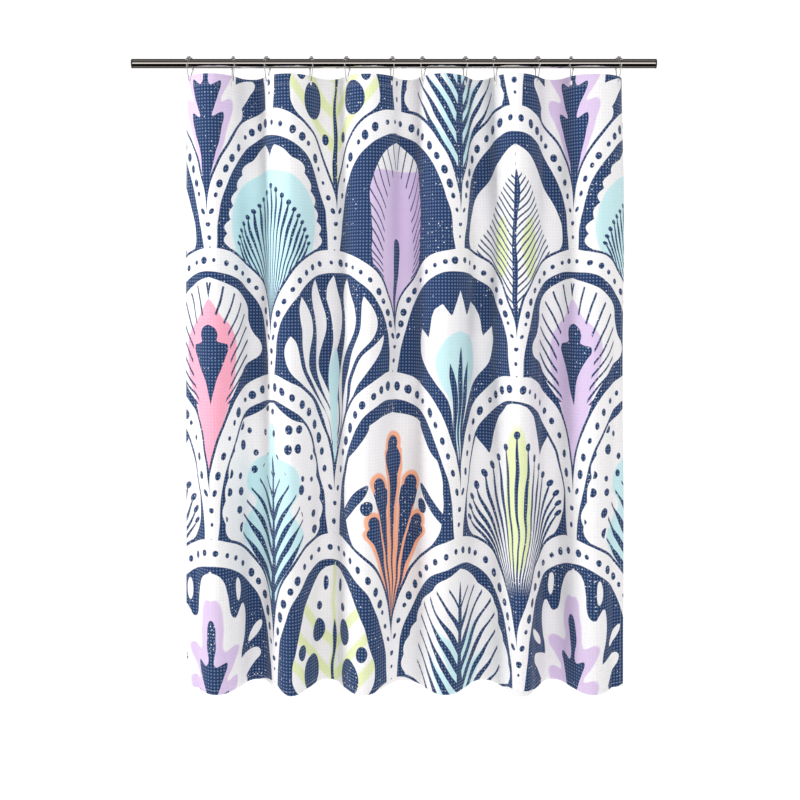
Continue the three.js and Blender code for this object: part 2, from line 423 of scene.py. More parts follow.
def oval(scale, height, half_width, half_height, aside=0.0):
    """An upright oval, mirrored left and right when it stands aside of the middle line."""
    across = (scale.side - aside) / half_width
    return (1.0 - across.hypot((scale.y - height) / half_height)) * min(half_width, half_height)


def ripple(scale, length, depth):
    """Small round scallops along an edge."""
    return scale.y.times(math.pi / length, 0.0).math("SINE").size() * depth


# %% [markdown]
# ## The twelve drawings
# Each drawing gives three shapes: the light field left free in the dark ground, a patch of colour on it, and
# the dark ink on top. They are plain garden shapes: fans, feathers, leaves, a tulip, twigs and drops.
# All of them grow from a foot that is squeezed between the two scales in front.

# %% The foot of a field
FIELD_FOOT = ((0.0, -0.001), (0.10, 0.008), (0.15, 0.024), (0.20, 0.048), (0.25, 0.086), (0.28, 0.122))
HAIR = ((0.0, 0.0004), (0.25, 0.0012), (0.7, 0.0025), (0.97, 0.0028), (1.0, 0.0), (1.04, -0.02))

# %% Top row: antler, leaf with ovals, striped leaf
def antler(s):
    trunk_edge = ((0.31, 0.135), (0.34, 0.114), (0.38, 0.105), (0.42, 0.107), (0.46, 0.117), (0.51, 0.122))
    body = outline(s, *FIELD_FOOT, *trunk_edge, (0.56, 0.116), (0.62, 0.112))
    drips = ((0.0, 0.655), (0.03, 0.64), (0.048, 0.60), (0.055, 0.56), (0.066, 0.525), (0.080, 0.519))
    field = body.both(crown(s, *drips, (0.092, 0.535), (0.108, 0.552), (0.119, 0.53), (0.13, 0.45)))
    lobe = ((0.20, 0.060), (0.24, 0.108), (0.262, 0.139), (0.283, 0.160), (0.300, 0.179), (0.318, 0.176))
    field = field.either(outline(s, *lobe, (0.331, 0.150), (0.338, 0.100), (0.345, -0.02), lean=0.5))
    halo = ((0.03, 0.001), (0.10, 0.020), (0.172, 0.045), (0.22, 0.073), (0.255, 0.092), (0.282, 0.082))
    halo += ((0.30, 0.052), (0.325, 0.072), (0.355, 0.092), (0.382, 0.078), (0.40, 0.042), (0.48, 0.037))
    tint = outline(s, *halo, (0.545, 0.028), (0.572, 0.012), (0.578, -0.002), lean=0.8)
    trunk = ((0.0, 0.001), (0.08, 0.006), (0.12, 0.014), (0.172, 0.026), (0.218, 0.045), (0.25, 0.056))
    trunk += ((0.266, 0.052), (0.276, 0.021), (0.30, 0.029), (0.326, 0.044), (0.35, 0.051), (0.362, 0.046))
    ink = outline(s, *trunk, (0.372, 0.017), (0.45, 0.014), (0.51, 0.010), (0.529, -0.002), lean=0.8)
    tilted = Scale(s.x, s.side.times(-1.0, s.y))
    slits = oval(s, 0.600, 0.010, 0.034, 0.090).either(oval(tilted, 0.302, 0.026, 0.018, 0.160))
    return field.either(slits).both(0.658 - s.y), tint, ink


def oval_leaf(s):
    edge = ((0.33, 0.172), (0.37, 0.176), (0.44, 0.157), (0.52, 0.138), (0.58, 0.105), (0.62, 0.065))
    field = outline(s, *FIELD_FOOT, *edge, (0.645, 0.03), (0.655, -0.002))
    bands = barbs(s, 0.103, 1.1, 0.0135, ((0.0, 0.2), (0.42, 0.2), (0.5, 0.03), (0.6, -0.1)))
    rib = outline(s, (0.0, 0.004), (0.12, 0.008), (0.22, 0.008), (0.36, 0.0045), (0.49, 0.002), (0.5, -0.003))
    ovals = oval(s, 0.345, 0.040, 0.052, 0.085)
    small = ((0.465, 0.026, 0.039, 0.054), (0.42, 0.017, 0.024, 0.133), (0.54, 0.011, 0.013, 0.047))
    for height, wide, tall, aside in (*small, (0.60, 0.008, 0.020, 0.027), (0.235, 0.011, 0.015, 0.035)):
        ovals = ovals.either(oval(s, height, wide, tall, aside))
    return field, bands.either(outline(s, (0.0, 0.012), (0.3, 0.010), (0.6, 0.006))), rib.either(ovals)


def striped_leaf(s):
    edge = ((0.32, 0.205), (0.38, 0.212), (0.44, 0.19), (0.50, 0.165), (0.56, 0.142), (0.60, 0.10))
    field = outline(s, *FIELD_FOOT, *edge, (0.63, 0.068), (0.65, 0.03), (0.66, -0.002))
    reach = ((-0.05, 0.15), (0.116, 0.165), (0.218, 0.154), (0.344, 0.138), (0.41, 0.111), (0.49, 0.075))
    ink = barbs(s, 0.060, 1.5, 0.0088, (*reach, (0.57, 0.02), (0.6, -0.01)), 0.11, 0.0030)
    stem = outline(s, (0.0, 0.002), (0.1, 0.006), (0.2, 0.014), (0.42, 0.009), (0.62, 0.002), (0.64, -0.004))
    tint = barbs(s, 0.120, 1.5, 0.026, ((0.0, 0.09), (0.35, 0.10), (0.5, 0.02), (0.55, -0.05)), 0.4)
    return field + ripple(s, 0.055, 0.006), tint, ink.either(stem)


# %% Second row: pin fan, feather, pine
def pin_fan(s):
    spread = ((0.0, 0.003), (0.05, 0.012), (0.15, 0.045), (0.25, 0.103), (0.338, 0.155), (0.416, 0.19))
    tops = ((0.0, 0.515), (0.2, 0.487), (0.4, 0.452), (0.61, 0.416), (0.8, 0.378), (1.0, 0.338))
    ink = comb(s, 9.0, (*spread, (0.48, 0.22), (0.52, 0.235)), tops, HAIR, head=0.0078)
    glow = ((0.0, 0.0), (0.1, 0.03), (0.2, 0.09), (0.3, 0.165), (0.40, 0.182), (0.48, 0.160), (0.53, 0.11))
    tint = outline(s, *glow, (0.555, 0.05), (0.565, -0.004))
    edge = ((0.32, 0.195), (0.36, 0.202), (0.44, 0.178), (0.50, 0.158), (0.55, 0.132), (0.585, 0.108))
    field = outline(s, *FIELD_FOOT, *edge, (0.61, 0.07), (0.635, 0.04), (0.65, -0.002))
    notch = crown(s, (0.0, 0.605), (0.024, 0.64), (0.1, 0.66))
    return (field + ripple(s, 0.046, 0.012)).both(notch), tint, ink


def feather(s):
    edge = ((0.0, -0.001), (0.1, 0.03), (0.17, 0.065), (0.25, 0.092), (0.35, 0.106), (0.45, 0.110))
    field = outline(s, *edge, (0.53, 0.102), (0.59, 0.080), (0.63, 0.045), (0.648, -0.002))
    bristles = rays(s, 0.06, 0.09, 0.046, 0.0019)
    depth = s.y.along((0.0, 0.002), (0.15, 0.02), (0.35, 0.040), (0.5, 0.06), (0.64, 0.12))
    drop = ((0.02, 0.001), (0.1, 0.005), (0.2, 0.010), (0.28, 0.014), (0.33, 0.0165), (0.348, 0.013))
    ink = bristles.both(depth - field).either(outline(s, *drop, (0.357, -0.003)))
    return field, 0.565 - s.y, ink


def pine(s):
    edge = ((0.32, 0.195), (0.38, 0.205), (0.44, 0.186), (0.50, 0.155), (0.55, 0.112), (0.59, 0.070))
    field = outline(s, *FIELD_FOOT, *edge, (0.62, 0.032), (0.64, -0.003))
    reach = ((-0.1, 0.12), (0.0, 0.150), (0.128, 0.158), (0.273, 0.115), (0.40, 0.072), (0.5, 0.033))
    needles = barbs(s, 0.0265, 1.15, 0.0026, (*reach, (0.56, 0.0)))
    stem = outline(s, (0.0, 0.004), (0.2, 0.009), (0.4, 0.007), (0.56, 0.0035), (0.582, -0.006))
    return field, oval(s, 0.32, 0.030, 0.10, 0.055), needles.either(stem)


# %% Third row: drop with strokes, ribbons, tulip
def struck_drop(s):
    edge = ((0.296, 0.105), (0.344, 0.138), (0.385, 0.188), (0.415, 0.190), (0.45, 0.165), (0.495, 0.148))
    foot = FIELD_FOOT[:4]
    head = ((0.55, 0.14), (0.597, 0.105), (0.63, 0.06), (0.652, -0.002))
    field = outline(s, *foot, (0.245, 0.07), *edge, *head)
    ring = oval(s, 0.405, 0.145, 0.228).both(0.0 - oval(s, 0.36, 0.070, 0.165))
    strokes = rays(s, 0.12, 0.075, 0.078, 0.0031).both(ring).both(s.y - 0.235)
    flame = ((0.02, 0.0), (0.1, 0.010), (0.2, 0.048), (0.28, 0.078), (0.34, 0.090), (0.43, 0.090))
    tint = outline(s, *flame, (0.48, 0.064), (0.51, 0.038), (0.56, 0.012), (0.58, -0.002))
    heart = ((0.225, -0.001), (0.26, 0.008), (0.307, 0.02), (0.34, 0.036), (0.371, 0.05), (0.400, 0.061))
    heart += ((0.414, 0.056), (0.421, 0.027), (0.45, 0.027), (0.475, 0.018), (0.488, -0.004))
    return field, tint, strokes.either(outline(s, *heart))


def ribbons(s):
    spread = ((0.0, 0.004), (0.12, 0.016), (0.2, 0.045), (0.28, 0.10), (0.36, 0.15), (0.5, 0.195))
    spread += ((0.66, 0.2),)
    tops = ((0.0, 0.668), (0.35, 0.65), (0.7, 0.58), (1.0, 0.45))
    wave = s.y.times(22.0, 0.4).math("SINE") * 0.014
    waved = Scale(s.x + wave, s.y)
    band = ((0.0, 0.0), (0.25, 0.002), (0.40, 0.009), (0.54, 0.006), (0.78, 0.024), (0.92, 0.017))
    field = comb(waved, 3.0, spread, tops, (*band, (1.0, -0.002)))
    blade = ((0.0, 0.001), (0.10, 0.007), (0.24, 0.015), (0.32, 0.021), (0.37, 0.013), (0.415, -0.004))
    spear = outline(s, *blade)
    return field.either(spear), spear, s.side - 1.0


def tulip(s):
    edge = ((0.0, -0.001), (0.1, 0.006), (0.15, 0.016), (0.2, 0.028), (0.25, 0.048), (0.296, 0.084))
    cup = outline(s, *edge, (0.34, 0.124), (0.38, 0.142), (0.42, 0.148), (0.48, 0.15))
    tips = ((0.0, 0.608), (0.029, 0.512), (0.057, 0.563), (0.085, 0.542), (0.099, 0.51), (0.108, 0.44))
    petals = crown(s, *tips, (0.141, 0.475), (0.148, 0.43), (0.16, 0.38), kind="VECTOR")
    glow = ((0.0, 0.0), (0.15, 0.011), (0.25, 0.040), (0.30, 0.070), (0.36, 0.082), (0.41, 0.068))
    tint = outline(s, *glow, (0.44, 0.04), (0.456, -0.003))
    spread = ((0.0, 0.003), (0.14, 0.012), (0.24, 0.020), (0.30, 0.028), (0.38, 0.046))
    leaf = ((0.0, 0.002), (0.4, 0.004), (0.72, 0.0105), (0.88, 0.008), (1.0, -0.002))
    return cup.both(petals), tint, comb(s, 1.0, spread, ((0.0, 0.412), (1.0, 0.365)), leaf)


# %% Fourth row: twigs, drops, lime fan
SPOT_DENSITY = 19.0


def scattered_spots(s):
    """Round spots of mixed size, one in each cell of a loose grid."""
    tree = s.x.tree
    place = tree.nodes.new("ShaderNodeCombineXYZ")
    feed(tree, s.x, place.inputs["X"])
    feed(tree, s.y, place.inputs["Y"])
    cells = texture(tree, "Voronoi", place.outputs["Vector"], Scale=SPOT_DENSITY, Randomness=0.55)
    chance = Ink(tree, cells.outputs["Color"]).math("FRACT")
    return chance.times(0.0085, 0.0055) - Ink(tree, cells.outputs["Distance"]) / SPOT_DENSITY


def twigs(s):
    edge = ((0.31, 0.175), (0.36, 0.21), (0.44, 0.20), (0.52, 0.18), (0.58, 0.155), (0.61, 0.13))
    field = outline(s, *FIELD_FOOT, *edge, (0.625, 0.085), (0.645, 0.05), (0.662, 0.02), (0.668, -0.002))
    reach = ((-0.1, 0.08), (0.05, 0.125), (0.2, 0.132), (0.287, 0.108), (0.356, 0.080), (0.434, 0.035))
    ink = barbs(s, 0.053, 1.25, 0.0085, (*reach, (0.5, 0.0)), 0.17, 0.0026)
    stem = outline(s, (0.0, 0.004), (0.1, 0.010), (0.3, 0.010), (0.45, 0.005), (0.53, 0.002), (0.545, -0.006))
    bare = crown(s, (0.0, 0.555), (0.04, 0.52), (0.08, 0.46), (0.12, 0.40), (0.15, 0.32), (0.2, 0.28))
    spots = scattered_spots(s).both(0.0 - bare).both(field - 0.004)
    glow = ((0.0, 0.0), (0.15, 0.03), (0.25, 0.085), (0.33, 0.135), (0.37, 0.11), (0.40, 0.085))
    glow += ((0.45, 0.112), (0.49, 0.105), (0.52, 0.07), (0.54, 0.022), (0.60, 0.014), (0.615, -0.003))
    tint = outline(s, *glow)
    return field + ripple(s, 0.06, 0.008), tint, ink.either(stem).either(spots)


def drops(s):
    edge = ((0.31, 0.16), (0.36, 0.19), (0.46, 0.196), (0.55, 0.165), (0.60, 0.12), (0.64, -0.002))
    body = outline(s, *FIELD_FOOT, *edge)
    tilted = Scale(s.x, s.side.times(0.9, s.y))
    fingers = oval(tilted, 0.555, 0.060, 0.020, 0.165).either(oval(s, 0.405, 0.019, 0.019, 0.112))
    fingers = fingers.either(oval(tilted, 0.70, 0.045, 0.020, 0.150))
    spread = ((0.0, 0.003), (0.1, 0.012), (0.2, 0.042), (0.3, 0.080), (0.38, 0.115), (0.48, 0.175))
    spread += ((0.6, 0.22),)
    tops = ((0.0, 0.555), (0.4, 0.455), (0.8, 0.358), (1.0, 0.33))
    leaf = ((0.0, 0.001), (0.4, 0.003), (0.62, 0.0065), (0.84, 0.0175), (0.985, 0.0215), (1.0, -0.01))
    ink = comb(s, 2.5, spread, tops, (*leaf, (1.02, -0.1)), head=0.0225)
    return body.both(0.0 - fingers), ink + 0.0125, ink


def lime_fan(s):
    cup = outline(s, *FIELD_FOOT, (0.31, 0.175), (0.36, 0.21), (0.42, 0.216), (0.5, 0.208), (0.6, 0.2))
    top = ((0.0, 0.668), (0.035, 0.66), (0.07, 0.632), (0.095, 0.585), (0.120, 0.527), (0.150, 0.56))
    crests = crown(s, *top, (0.174, 0.59), (0.188, 0.56), (0.207, 0.50), (0.23, 0.40), kind="VECTOR")
    spread = ((0.0, 0.003), (0.1, 0.012), (0.15, 0.030), (0.2, 0.055), (0.25, 0.092), (0.3, 0.135))
    spread += ((0.37, 0.195), (0.45, 0.26), (0.55, 0.32), (0.6, 0.34))
    tops = ((0.0, 0.585), (0.25, 0.525), (0.5, 0.478), (1.0, 0.37))
    hair = ((0.0, 0.0030), (0.32, 0.0028), (0.5, 0.0022), (0.97, 0.0028), (1.0, 0.0), (1.04, -0.02))
    ink = comb(s, 8.0, spread, tops, hair, head=0.0098)
    return cup.both(crests), oval(s, 0.42, 0.048, 0.185), ink


DRAWINGS = (
    antler, oval_leaf, striped_leaf,
    pin_fan, feather, pine,
    struck_drop, ribbons, tulip,
    twigs, drops, lime_fan,
)

# %% [markdown]
# ## Colours
# The print has one dark ink and six pale ones on white cloth. The inks are laid over each other in the
# order of a screen print: the dark ground, the light field, the patch of colour, then the dark strokes.
# Here and there the dark ink has missed the cloth and leaves tiny bare specks. The ink's edges wander a
# little, as a hand-cut screen's do, because a slow noise moves every spot before it is looked up.

# %% Inks
def from_hex(text):
    """A colour written as six hex digits, as the linear light that Blender works in."""
    shares = [int(text[i : i + 2], 16) / 255 for i in (0, 2, 4)]
    return (*[s / 12.92 if s <= 0.04045 else ((s + 0.055) / 1.055) ** 2.4 for s in shares], 1.0)


NAVY = from_hex("20365E")
WHITE = from_hex("F5F3F4")
LILAC = from_hex("DCC6E8")
LIME = from_hex("E6EEB8")
AQUA = from_hex("C8ECF0")
PINK = from_hex("FBA9C1")
ORANGE = from_hex("FBB08A")
WANDER = 0.022
FLECK_DENSITY = 70.0
ROW_HEIGHTS = ((0.0, 0.0), (0.258, 0.2603), (0.445, 0.4743), (0.689, 0.6884), (1.0, 1.0))
TINTS = (LILAC, LIME, AQUA, AQUA, LILAC, LIME, PINK, AQUA, AQUA, AQUA, ORANGE, LIME)


def mixed(tree, share, low, high):
    """A mix of two colours: share 0 gives low and share 1 gives high."""
    node = tree.nodes.new("ShaderNodeMix")
    node.data_type = "RGBA"
    sockets = {socket.identifier: socket for socket in node.inputs}
    feed(tree, share, sockets["Factor_Float"])
    feed(tree, low, sockets["A_Color"])
    feed(tree, high, sockets["B_Color"])
    return next(socket for socket in node.outputs if socket.identifier == "Result_Color")


# %% Bare specks
def flecks(tree, place):
    """Tiny bare specks, a few together, where the dark ink has missed the cloth."""
    cells = texture(tree, "Voronoi", place, Scale=FLECK_DENSITY)
    patches = texture(tree, "Noise", place, Scale=5.0)
    chance = Ink(tree, cells.outputs["Color"]).math("FRACT")
    rare = Ink(tree, patches.outputs["Fac"]).times(1.5, 0.0) - chance.times(1.0, 0.43)
    radius = rare.times(0.008, 0.0).both(0.0017)
    return (radius - Ink(tree, cells.outputs["Distance"]) / FLECK_DENSITY).filled(0.0008)


# %% Put the scales, drawings and inks together
def hand_drawn(tree, place):
    """How far across and down the flat cloth a spot lies, once the noise has moved it a little."""
    wobble = texture(tree, "Noise", place, Scale=7.0, Detail=1.5, Roughness=0.35)
    wandered = tree.nodes.new("ShaderNodeVectorMath")
    wandered.operation = "MULTIPLY_ADD"
    for value, socket in zip((wobble.outputs["Color"], (WANDER, WANDER, 0.0), place), wandered.inputs):
        feed(tree, value, socket)
    parts = tree.nodes.new("ShaderNodeSeparateXYZ")
    feed(tree, wandered.outputs[0], parts.inputs[0])
    across = Ink(tree, parts.outputs["X"]) - WANDER / 2
    down = Ink(tree, parts.outputs["Y"]).times(-1.0, WANDER / 2)
    return across, (down / 2).along(*ROW_HEIGHTS) * 2


def chosen_layers(scale, index):
    """The field, the tint and the ink of the one drawing that the scale holds."""
    field = tint = ink = 0.0
    for number, drawing in enumerate(DRAWINGS):
        chosen = index.math("COMPARE", float(number), 0.2)
        layers = drawing(scale)
        field = layers[0].times(chosen, field)
        tint = layers[1].times(chosen, tint)
        ink = layers[2].times(chosen, ink)
    return field, tint, ink


def tint_colour(tree, index, column):
    """The colour of each drawing's patch. The drop on the right is lilac, its twin on the left is pink."""
    ramp = tree.nodes.new("ShaderNodeValToRGB")
    ramp.color_ramp.interpolation = "CONSTANT"
    elements = ramp.color_ramp.elements
    for number, colour in enumerate(TINTS):
        element = elements[number] if number < 2 else elements.new(number / 12)
        element.position = number / 12
        element.color = colour
    lilac_twin = index.math("COMPARE", 6.0, 0.2) * column.math("GREATER_THAN", 1.5)
    feed(tree, lilac_twin.times(-2.0, index).times(1 / 12, 0.5 / 12), ramp.inputs[0])
    return ramp.outputs["Color"]


def print_group():
    tree, enter, leave = new_group("Printed scales", {"Color": "Color", "Dark": "Float"})
    across, down = hand_drawn(tree, enter.outputs["Place"])
    x, drop, scale_row, column = find_scale(across, down)
    inside_arch, width, dots = draw_rim(x, drop, scale_row, column)
    y = FOOT - drop
    from_front = (x.size() - ARCH).hypot(y * ROUND) - ARCH
    ground = inside_arch - width
    index = scale_row.math("FLOORED_MODULO", 4.0).times(3.0, column.math("FLOORED_MODULO", 3.0))
    field, tint, ink = chosen_layers(Scale(x, y), index)
    field = field.both(ground - 0.006).both(from_front - 0.007)
    in_ground = ground.filled()
    colour = mixed(tree, in_ground, WHITE, NAVY)
    in_field = field.filled()
    colour = mixed(tree, in_field, colour, WHITE)
    in_tint = tint.filled(0.006) * in_field
    colour = mixed(tree, in_tint, colour, tint_colour(tree, index, column))
    in_ink = (ink.filled() * in_ground).either(dots.filled())
    colour = mixed(tree, in_ink, colour, NAVY)
    fleck = flecks(tree, enter.outputs["Place"])
    dark = ((1.0 - in_field) * in_ground).either(in_ink)
    colour = mixed(tree, fleck * dark, colour, WHITE)
    feed(tree, colour, leave.inputs["Color"])
    feed(tree, dark * (1.0 - fleck), leave.inputs["Dark"])
    return tree


# %% [markdown]
# ## The line that hanging cloth takes
# Seen from above, hung cloth is a wave that keeps its own length. It is drawn by its direction: at every
# ring it leans one way by `PLEAT_TURN`, and half-way to the next ring it runs along the rod. Adding a
# second swing, the swell, steepens a pleat's sides until the pleat is just as wide as its rings are apart.
# At the hem nothing holds the pleats, so they even out; in between, one turns slowly into the other.

# %% Solve the pleats at the rings and at the hem
PLEAT_TURN = 0.9
EDGE_CURL = 2.0
PLEATS = len(RING_X) - 1
TOP_SHARES = [(b - a) / SLOT_PITCH for a, b in zip(RING_X, RING_X[1:])]
HEM_SHARES = [0.75, 0.67, 0.65, 0.67, 0.73, 0.78, 0.75, 0.73, 0.62, 0.66, 0.75]


def pleat_turn(share, swell):
    return PLEAT_TURN * np.cos(np.pi * share) + swell * np.sin(2 * np.pi * share)


def swell_table():
    swells = np.linspace(-PLEAT_TURN, 1.2, 240)
    places = (np.arange(200) + 0.5) / 200
    widths = np.array([np.cos(pleat_turn(places, swell)).mean() for swell in swells])
    return widths, swells


WIDTH_TABLE, SWELL_TABLE = swell_table()
FALLING = np.argmax(WIDTH_TABLE)


def swell_for(share):
    """The swell that draws a pleat together to this share of its flat width."""
    return np.interp(-share, -WIDTH_TABLE[FALLING:], SWELL_TABLE[FALLING:])


print("swell of the first pleats:", [round(float(swell_for(share)), 2) for share in TOP_SHARES[:4]])

# %% Walk along the cloth at one height
WALK = 1.5 * MM
WALK_PLACES = np.arange(0, WIDTH + WALK, WALK)


def wander(pleat, depth):
    """A slow, gentle change of each pleat on its way down, so that no two folds are alike."""
    return 0.035 * math.sin(2.1 * pleat + 5.0 * depth) * math.sin(math.pi * min(1.0, 1.4 * depth))


def cloth_line(depth):
    """x and y of the cloth at every walking step; depth is 0 at the top edge and 1 at the bottom edge."""
    mix = depth**0.8
    shares = []
    for pleat in range(PLEATS):
        share = (1 - mix) * TOP_SHARES[pleat] + mix * HEM_SHARES[pleat]
        shares.append(share + wander(pleat, depth))
    places = (WALK_PLACES + WALK / 2 - EDGE_TO_SLOT) / SLOT_PITCH
    pleat = np.clip(np.floor(places).astype(int), 0, PLEATS - 1)
    swells = np.array([swell_for(share) for share in shares])
    side = np.where(pleat % 2 == 0, 1.0, -1.0)
    turn = side * pleat_turn(places - pleat, swells[pleat])
    edge_turn = PLEAT_TURN * (1 - 0.75 * mix)
    curl = EDGE_CURL * (1 - 0.7 * mix)
    turn = np.where(places < 0, edge_turn - curl * places, turn)
    past = places - PLEATS
    turn = np.where(past > 0, -(edge_turn + curl * past), turn)
    x = np.concatenate([[0.0], np.cumsum(np.cos(turn)[:-1] * WALK)])
    y = np.concatenate([[0.0], np.cumsum(-np.sin(turn)[:-1] * WALK)])
    first_slot = np.interp(EDGE_TO_SLOT, WALK_PLACES, x)
    first_y = np.interp(EDGE_TO_SLOT, WALK_PLACES, y)
    drift = 0.026 * mix
    set_back = 4.5 * MM * mix
    return x - first_slot + RING_X[0] + drift, y - first_y + set_back


# %% [markdown]
# ## One sheet with its edges turned over
# The curtain is a single grid of faces, a little over nine millimetres each way, with closer lines where it
# folds and around the buttonholes. Past each edge the grid goes on, turns back and lies behind the sheet:
# that is the header, the two side hems and the bottom hem, all the same piece of cloth.

# %% Lines of the grid, in metres on the flat cloth
CELL = 9.2 * MM
LAYER = 0.95 * MM
SLOT_HALF = 2.4 * MM
SLOT_REACH = 7.2 * MM
slot_down = CLOTH_TOP - SLOT_MIDDLE
slot_across = [EDGE_TO_SLOT + i * SLOT_PITCH for i in range(len(RING_X))]


def grid_lines(length, low_fold, high_fold, fixed):
    """Even lines from edge to edge, with extra ones at the folds and at fixed places."""
    special = [-low_fold, -low_fold / 2, -0.9 * MM, 0.0, 0.9 * MM, low_fold]
    special += [length - high_fold, length - 0.9 * MM, length, length + 0.9 * MM]
    special += [length + high_fold / 2, length + high_fold]
    special += list(fixed)
    even = [i * length / round(length / CELL) for i in range(1, round(length / CELL))]
    lines = sorted(special)
    for place in even:
        if min(abs(place - other) for other in special) > 0.42 * CELL:
            lines.append(place)
    return np.array(sorted(lines))


across_fixed = [place + side for place in slot_across for side in (-SLOT_HALF, SLOT_HALF)]
ACROSS = grid_lines(WIDTH, SIDE_HEM, SIDE_HEM, across_fixed)
down_fixed = [side * (slot_down + reach) for side in (-1, 1) for reach in (-SLOT_REACH, 0, SLOT_REACH)]
DOWN = grid_lines(DROP, HEADER, HEM, down_fixed)
print("grid", len(ACROSS), "by", len(DOWN))

# %% Place every point of the sheet
def folded(place, length):
    """Where a line lies once its edge is turned over, and how much it is turned: 0 flat, 1 behind."""
    if place < 0:
        return -place, min(1.0, -place / (0.9 * MM))
    if place > length:
        return 2 * length - place, min(1.0, (place - length) / (0.9 * MM))
    return place, 0.0


def crumple(across, down):
    """Small soft unevenness of the cloth, longer down than across, in metres."""
    wide = noise.noise(Vector((across * 9.0, down * 2.2, 3.1)))
    fine = noise.noise(Vector((across * 34.0, down * 7.0, 8.4)))
    return (2.6 * wide + 0.7 * fine) * MM


FRONT_SAG = 0.18
LAYERS = 60
CALM_DEPTH = 0.12


def sheet_points():
    points = []
    layers = np.linspace(0, 1, LAYERS)
    lines = [cloth_line(depth) for depth in layers]
    xs = np.array([line[0] for line in lines])
    ys = np.array([line[1] for line in lines])
    for place_down in DOWN:
        down, turned_down = folded(place_down, DROP)
        level = min(max(down / DROP, 0.0), 1.0) * (len(layers) - 1)
        lower = min(int(level), len(layers) - 2)
        part = level - lower
        x_line = (1 - part) * xs[lower] + part * xs[lower + 1]
        y_line = (1 - part) * ys[lower] + part * ys[lower + 1]
        for place_across in ACROSS:
            across, turned_side = folded(place_across, WIDTH)
            x = np.interp(across, WALK_PLACES, x_line)
            y = np.interp(across, WALK_PLACES, y_line)
            beside = (across - WALK, across + WALK)
            ahead = np.diff(np.interp(beside, WALK_PLACES, x_line))[0]
            aside = np.diff(np.interp(beside, WALK_PLACES, y_line))[0]
            length = math.hypot(ahead, aside)
            normal = (-aside / length, ahead / length)
            near_side = min(across, WIDTH - across) < SIDE_HEM + 2 * MM
            back = turned_side + turned_down * (3.0 if near_side else 1.0)
            if turned_side and turned_down:
                back = 2.0 * turned_down
            calm = min(1.0, down / CALM_DEPTH)
            back_distance = back * LAYER + calm * crumple(across, down)
            sag = -FRONT_SAG * max(0.0, down / DROP) ** 2 * y
            spot = (x + normal[0] * back_distance, y + normal[1] * back_distance, CLOTH_TOP - down - sag)
            points.append(spot)
    return points


SHEET = np.array(sheet_points()).reshape(len(DOWN), len(ACROSS), 3)
print("sheet points:", SHEET.shape[0] * SHEET.shape[1])

# %% Make the sheet's mesh, its print map and its bake map
def in_slot(across, down):
    """True for a face that lies in a buttonhole."""
    if abs(down - slot_down) > SLOT_REACH:
        return False
    return min(abs(across - place) for place in slot_across) < SLOT_HALF


def header_hole(across, down):
    return in_slot(across, down) or in_slot(across, -down)


def make_sheet():
    rows, columns = len(DOWN), len(ACROSS)
    faces = []
    flat = []
    for r in range(rows - 1):
        for c in range(columns - 1):
            centre = ((ACROSS[c] + ACROSS[c + 1]) / 2, (DOWN[r] + DOWN[r + 1]) / 2)
            if header_hole(*centre):
                continue
            corners = [(r + 1, c), (r + 1, c + 1), (r, c + 1), (r, c)]
            faces.append([row * columns + column for row, column in corners])
            flat.append([(ACROSS[column], -DOWN[row]) for row, column in corners])
    piece = mesh_piece("printed_curtain", SHEET.reshape(-1, 3), faces)
    bake = piece.data.uv_layers.new(name="OFBake")
    cloth = piece.data.uv_layers.new(name="Cloth")
    low = np.array([ACROSS[0], -DOWN[-1]])
    size = np.array([ACROSS[-1] - ACROSS[0], DOWN[-1] - DOWN[0]])
    places = np.array(flat).reshape(-1, 2)
    cloth.data.foreach_set("uv", places.ravel())
    bake.data.foreach_set("uv", ((places - low) / size).ravel())
    return piece


curtain = make_sheet()
print("curtain faces:", len(curtain.data.polygons))

# %% [markdown]
# ## Sewing
# Four rows of lockstitch hold the turned edges. A stitch is a short bead of thread that dips into the cloth
# at both ends, so a small spindle with few faces is enough; it shows on the front and again on the back.

# %% Find a place on the finished sheet
PANEL_ROWS = np.where((DOWN >= 0) & (DOWN <= DROP))[0]
PANEL_COLUMNS = np.where((ACROSS >= 0) & (ACROSS <= WIDTH))[0]


def on_sheet(across, down):
    """A point of the front layer, found between the four grid points around it."""
    c = int(np.clip(np.searchsorted(ACROSS, across) - 1, PANEL_COLUMNS[0], PANEL_COLUMNS[-1] - 1))
    r = int(np.clip(np.searchsorted(DOWN, down) - 1, PANEL_ROWS[0], PANEL_ROWS[-1] - 1))
    u = (across - ACROSS[c]) / (ACROSS[c + 1] - ACROSS[c])
    v = (down - DOWN[r]) / (DOWN[r + 1] - DOWN[r])
    top = SHEET[r, c] * (1 - u) + SHEET[r, c + 1] * u
    bottom = SHEET[r + 1, c] * (1 - u) + SHEET[r + 1, c + 1] * u
    return Vector(top * (1 - v) + bottom * v)


def sheet_frame(across, down):
    """The point with the directions along the cloth, down the cloth and out of its front."""
    point = on_sheet(across, down)
    step = 1.5 * MM
    along = (on_sheet(across + step, down) - on_sheet(across - step, down)).normalized()
    below = (on_sheet(across, down + step) - on_sheet(across, down - step)).normalized()
    return point, along, below, below.cross(along).normalized()


# %% Sew the four seams
CLOTH_HALF = 0.3 * MM
STITCH = 3.1 * MM
STITCH_PITCH = 4.0 * MM
THREAD_RADIUS = 0.32 * MM


